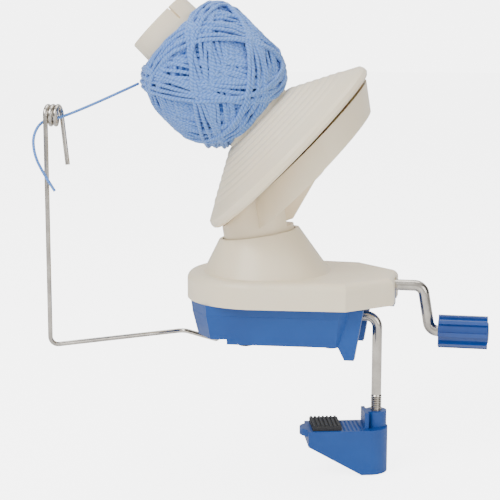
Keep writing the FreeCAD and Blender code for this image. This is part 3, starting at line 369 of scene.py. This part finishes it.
# ---- wound ball ---------------------------------------------------------------
# outline of the ball as (radius, height above the plate rim), the same as the CAD ball's
ball_profile = np.array([(27.0, 29.3), (34.0, 36.0), (40.2, 48.0), (42.6, 62.0), (42.6, 75.0),
                         (40.6, 89.0), (37.0, 99.5), (31.0, 105.0), (23.5, 107.5)]) / 1000.0
ball_centre_w = 0.068   # height of the ball centre above the plate rim
profile_angle = np.arctan2(ball_profile[:, 0], ball_profile[:, 1] - ball_centre_w)
profile_reach = np.hypot(ball_profile[:, 0], ball_profile[:, 1] - ball_centre_w)
order = np.argsort(profile_angle)
dense = np.linspace(profile_angle[order][0], profile_angle[order][-1], 200)
dense_reach = np.interp(dense, profile_angle[order], profile_reach[order])
kernel = np.ones(17) / 17.0
padded_reach = np.pad(dense_reach, 8, mode="edge")
dense_reach = np.convolve(padded_reach, kernel, mode="valid")


def ball_surface(directions, depth):
    """Points at a depth under the ball's surface along unit directions from its centre."""
    angle = np.arccos(np.clip(directions[:, 2], -1, 1))
    reach = np.interp(angle, dense, dense_reach) - depth
    return directions * reach[:, None]


def to_world(local):
    """Points from the ball's own frame, whose Z is the spool axis, to the part's frame."""
    basis = np.array([spool_side, spool_front, spool_axis])
    centre = np.array(spool_origin + spool_axis * ball_centre_w)
    return local @ basis + centre


random = np.random.default_rng(12)
wrap_advance = math.radians(72.62)      # the head lays each wrap about a fifth of a turn on
wrap_shift = 0.26                       # length of one wrap, which carries the twist on to the next
wrap_count = 205
wrap_steps = 90
yarn_radius = 0.00122
all_vertices, all_faces, all_uvs = [], [], []
vertex_start = 0
for wrap in range(wrap_count):
    share = wrap / (wrap_count - 1)
    lean_angle = math.radians(50.0 + 7.5 * math.cos(2 * math.pi * wrap / 37.0) - 4.0 * share)
    depth_now = 0.0072 * (1 - share) + 0.0013
    t = np.linspace(0, 1, wrap_steps)
    azimuth = -(wrap + t) * wrap_advance + random.normal(0, 0.01)
    normal_way = np.stack([math.sin(lean_angle) * np.cos(azimuth),
                           math.sin(lean_angle) * np.sin(azimuth),
                           np.full_like(azimuth, math.cos(lean_angle))], axis=1)
    first_way = np.stack([-np.sin(azimuth), np.cos(azimuth), np.zeros_like(azimuth)], axis=1)
    second_way = np.cross(normal_way, first_way)
    phi = 2 * math.pi * t
    directions = first_way * np.cos(phi)[:, None] + second_way * np.sin(phi)[:, None]
    drift = random.normal(0, 0.006)
    directions = directions + normal_way * (drift + 0.006 * np.sin(3 * phi + wrap))[:, None]
    directions /= np.linalg.norm(directions, axis=1)[:, None]
    bumpy = 0.0003 * np.sin(11 * phi + 1.7 * wrap) + 0.0002 * np.sin(23 * phi + wrap)
    path = ball_surface(directions, depth_now + bumpy)
    vertices, faces, uvs = tube_arrays(path, directions, yarn_radius, 6, 0.85, vertex_start)
    uvs[:, 0] += wrap * wrap_shift
    all_vertices.append(vertices)
    all_faces.append(faces)
    all_uvs.append(uvs)
    vertex_start += len(vertices)
wound = make_mesh("wound_yarn", to_world(np.concatenate(all_vertices)), np.concatenate(all_faces),
                  np.concatenate(all_uvs))
wound.data.materials.append(wool)

# packed yarn under the visible wraps, in the darker wool copy as painted shade
core_rings, core_sides = 60, 120
core_angles = np.linspace(profile_angle.min(), profile_angle.max(), core_rings)
core_turns = np.linspace(0, 2 * math.pi, core_sides, endpoint=False)
core_directions = np.array([(math.sin(a) * math.cos(b), math.sin(a) * math.sin(b), math.cos(a))
                            for a in core_angles for b in core_turns])
core_depth = 0.0046 + 0.0005 * np.sin(core_directions[:, 0] * 90) * np.cos(core_directions[:, 1] * 90)
core_points = ball_surface(core_directions, core_depth)
core_faces = []
core_uvs = []
for ring in range(core_rings - 1):
    for side in range(core_sides):
        after = (side + 1) % core_sides
        core_faces.append((ring * core_sides + side, ring * core_sides + after,
                           (ring + 1) * core_sides + after, (ring + 1) * core_sides + side))
        u = wrap_shift * side / core_sides
        u_next = u + wrap_shift / core_sides
        v = ring / 3.0
        core_uvs += [(u, v), (u_next, v), (u_next, v + 0.333), (u, v + 0.333)]
core = make_mesh("packed_yarn", to_world(core_points), core_faces, core_uvs)
core.data.materials.append(wool_shaded_under_wraps)
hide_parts("yarn_ball")
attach(wound, "spindle")
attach(core, "spindle")


# ---- grip pimples on the clamp foot -------------------------------------------
rod_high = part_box("clamp_rod")[1]
rod_x = rod_high.x - 0.0035     # middle of the 7 mm threaded end
platform_z = -0.057
jaw_turn = math.radians(15.0)
pimple_radius = 0.0008
pimple_pitch = 0.0026
pimple_first = (-0.0218, -0.0104)
pimples = bmesh.new()
for column in range(5):
    for row in range(9):
        local_x = pimple_first[0] + pimple_pitch * column
        local_y = pimple_first[1] + pimple_pitch * row
        x = rod_x + local_x * math.cos(jaw_turn) - local_y * math.sin(jaw_turn)
        y = local_x * math.sin(jaw_turn) + local_y * math.cos(jaw_turn)
        made = bmesh.ops.create_uvsphere(pimples, u_segments=10, v_segments=6, radius=pimple_radius)
        for vertex in made["verts"]:
            vertex.co.z *= 0.6
            vertex.co += Vector((x, y, platform_z))
pimple_mesh = bpy.data.meshes.new("grip_pimples")
pimples.to_mesh(pimple_mesh)
pimples.free()
pimple_mesh.polygons.foreach_set("use_smooth", [True] * len(pimple_mesh.polygons))
grip_pimples = bpy.data.objects.new("grip_pimples", pimple_mesh)
bpy.context.collection.objects.link(grip_pimples)
grip_pimples.data.materials.append(blue)
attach(grip_pimples, "clamp_jaw")


# ---- floor and light ----------------------------------------------------------
camera_glow = 4.5       # extra white that only the camera sees, for a clean pale backdrop


def seen_by_camera(tree, strength):
    """A value that is the given strength for what the camera sees and zero for other rays."""
    path = node(tree, "ShaderNodeLightPath")
    scaled = node(tree, "ShaderNodeMath", operation="MULTIPLY")
    scaled.inputs[1].default_value = strength
    tree.links.new(path.outputs["Is Camera Ray"], scaled.inputs[0])
    return scaled.outputs[0]


floor_material, floor_tree, floor_shader = new_material("pale_floor")
floor_shader.inputs["Base Color"].default_value = (0.93, 0.93, 0.93, 1.0)
floor_shader.inputs["Roughness"].default_value = 0.85
floor_shader.inputs["Specular IOR Level"].default_value = 0.2
floor_shader.inputs["Emission Color"].default_value = (1.0, 1.0, 1.0, 1.0)
floor_tree.links.new(seen_by_camera(floor_tree, camera_glow), floor_shader.inputs["Emission Strength"])
floor_z = cad_low.z - 0.0006
floor = make_mesh("floor", [(-9, -9, floor_z), (9, -9, floor_z), (9, 9, floor_z), (-9, 9, floor_z)],
                  [(0, 1, 2, 3)], smooth=False)
floor.data.materials.append(floor_material)

# soft white all round, darker to the left and right, which gives the plated rods their dark edges
world = bpy.data.worlds.new("studio")
world.use_nodes = True
world_tree = world.node_tree
direction = node(world_tree, "ShaderNodeTexCoord")
direction_parts = node(world_tree, "ShaderNodeSeparateXYZ")
world_tree.links.new(direction.outputs["Generated"], direction_parts.inputs["Vector"])
sideways = node(world_tree, "ShaderNodeMath", operation="ABSOLUTE")
world_tree.links.new(direction_parts.outputs["X"], sideways.inputs[0])
panels = node(world_tree, "ShaderNodeMapRange")
panels.inputs["From Min"].default_value = 0.45
panels.inputs["From Max"].default_value = 0.72
panels.inputs["To Min"].default_value = 1.05
panels.inputs["To Max"].default_value = 0.16
world_tree.links.new(sideways.outputs[0], panels.inputs["Value"])
backdrop = node(world_tree, "ShaderNodeMath", operation="ADD")
world_tree.links.new(panels.outputs["Result"], backdrop.inputs[0])
world_tree.links.new(seen_by_camera(world_tree, camera_glow), backdrop.inputs[1])
background = world_tree.nodes["Background"]
background.inputs["Color"].default_value = (1.0, 1.0, 1.0, 1.0)
world_tree.links.new(backdrop.outputs[0], background.inputs["Strength"])
bpy.context.scene.world = world


def soft_light(name, place, target, size, power):
    data = bpy.data.lights.new(name, "AREA")
    data.shape = "RECTANGLE"
    data.size = size[0]
    data.size_y = size[1]
    data.energy = power
    light = bpy.data.objects.new(name, data)
    bpy.context.collection.objects.link(light)
    light.location = place
    way = Vector(target) - Vector(place)
    light.rotation_euler = way.to_track_quat("-Z", "Y").to_euler()
    return light


soft_light("key_light", (-0.7, -1.0, 1.1), (0, 0, 0.06), (0.9, 0.9), 21.0)
soft_light("fill_light", (1.1, -0.8, 0.5), (0, 0, 0.05), (0.8, 0.8), 6.5)
soft_light("top_light", (0.1, 0.3, 1.4), (0, 0, 0.05), (1.0, 1.0), 8.0)
